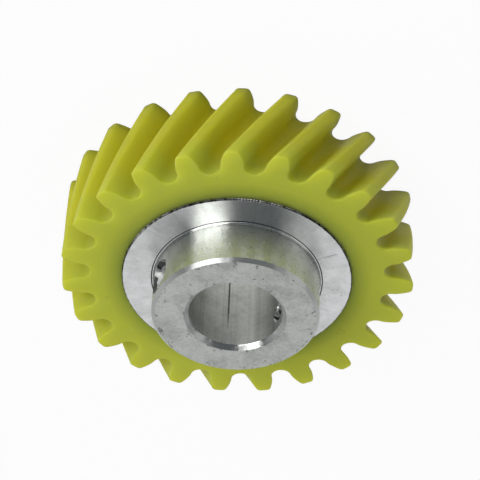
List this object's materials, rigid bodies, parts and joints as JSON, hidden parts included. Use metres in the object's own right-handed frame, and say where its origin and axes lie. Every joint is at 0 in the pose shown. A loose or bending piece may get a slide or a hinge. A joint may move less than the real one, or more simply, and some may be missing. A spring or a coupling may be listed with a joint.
{
  "type": "worm wheel",
  "caption": "Nylon worm wheel with right-hand helical teeth, moulded on a turned aluminium hub that has a bore and a cross hole for a retaining pin.",
  "frame": {"origin": "centre of the bore in the plane of the back face, which the wheel rests on", "axes": "+Z along the shaft axis from the back face towards the boss; +X through the middle of one tooth at the back face"},
  "size_m": [0.046, 0.046, 0.0184],
  "materials": {
    "nylon": "satin moulded nylon, yellow-green",
    "aluminium": "bright turned"
  },
  "bodies": {
    "root": {"toothed_ring": "nylon", "hub": "aluminium"}
  },
  "joints": []
}
